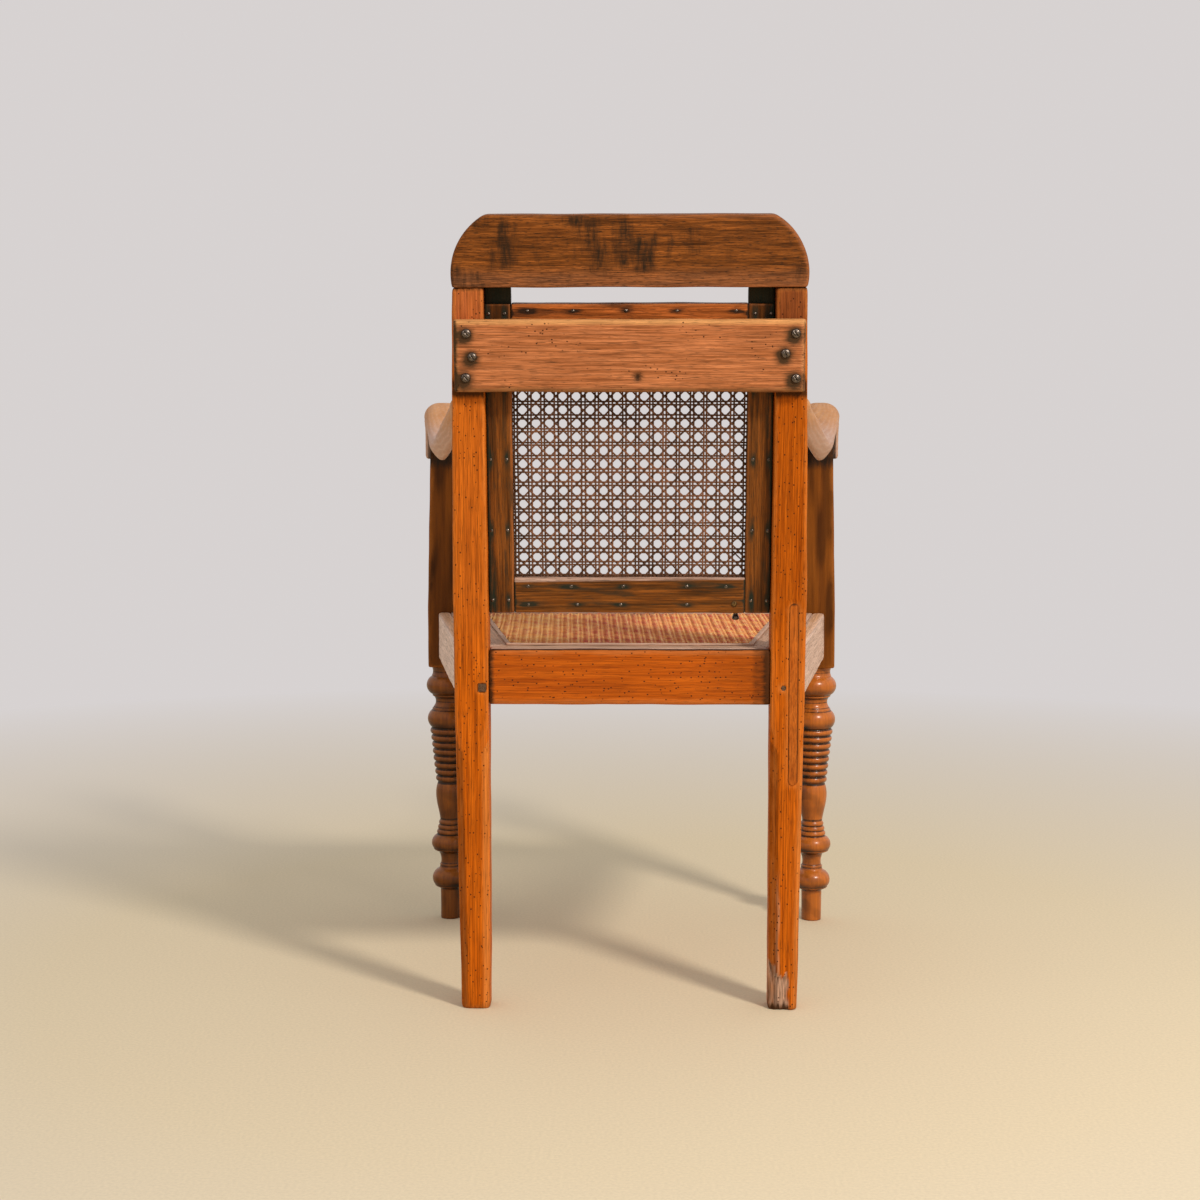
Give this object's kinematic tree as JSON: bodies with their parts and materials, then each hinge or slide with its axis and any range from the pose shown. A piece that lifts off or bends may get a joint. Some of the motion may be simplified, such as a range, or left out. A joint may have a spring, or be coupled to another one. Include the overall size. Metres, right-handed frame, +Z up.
{
  "type": "cane armchair",
  "caption": "Wooden cane armchair with raked posts, scrolled arms, turned front legs, a caned seat and a caned back that slides up between the posts and is held by a small bolt.",
  "frame": {"origin": "on the floor, under the middle of the chair's box", "axes": "+Z up, the sitter faces -Y, +X is the sitter's left"},
  "size_m": [0.622, 0.6291, 1.0025],
  "materials": {
    "post_wood": "worn orange-brown varnish",
    "patch_wood": "worn varnish",
    "leg_wood": "polished brown stain",
    "faded_wood": "bleached and dry",
    "arm_wood": "hand-worn",
    "slat_wood": "dull varnish",
    "crest_wood": "dark streaked varnish",
    "dark_wood": "dark stain",
    "seat_cane": "glossy cane",
    "back_cane": "dark stained cane",
    "iron": "dark aged",
    "brass": "tarnished"
  },
  "bodies": {
    "frame": {"rear_post_left": "post_wood", "rear_post_right": "post_wood", "post_patch": "patch_wood", "front_leg_left": "leg_wood", "front_leg_right": "leg_wood", "rear_seat_rail": "post_wood", "front_seat_rail": "leg_wood", "side_seat_rail_left": "faded_wood", "side_seat_rail_right": "faded_wood", "rail_pegs": "iron", "seat_frame_rear": "faded_wood", "seat_frame_front": "faded_wood", "seat_frame_left": "faded_wood", "seat_frame_right": "faded_wood", "seat_cane": "seat_cane", "seat_binder": "seat_cane", "arm_left": "arm_wood", "arm_right": "arm_wood", "tie_slat": "slat_wood", "slat_screws": "iron"},
    "rising_back": {"crest_rail": "crest_wood", "back_stile_left": "dark_wood", "back_stile_right": "dark_wood", "back_top_rail": "dark_wood", "back_bottom_rail": "dark_wood", "back_cane": "back_cane", "strip_left": "dark_wood", "strip_right": "dark_wood", "strip_top": "dark_wood", "strip_bottom": "dark_wood", "strip_nails": "iron", "catch_screw": "brass"},
    "catch": {"catch_bolt": "iron", "catch_knob": "iron"}
  },
  "joints": [
    {"name": "back_slide", "type": "slide", "parent": "frame", "child": "rising_back", "axis": [0, 0.1478, 0.989], "range_m": [0, 0.2]},
    {"name": "catch_slide", "type": "slide", "parent": "rising_back", "child": "catch", "axis": [-1, 0, 0], "range_m": [0, 0.008]}
  ]
}
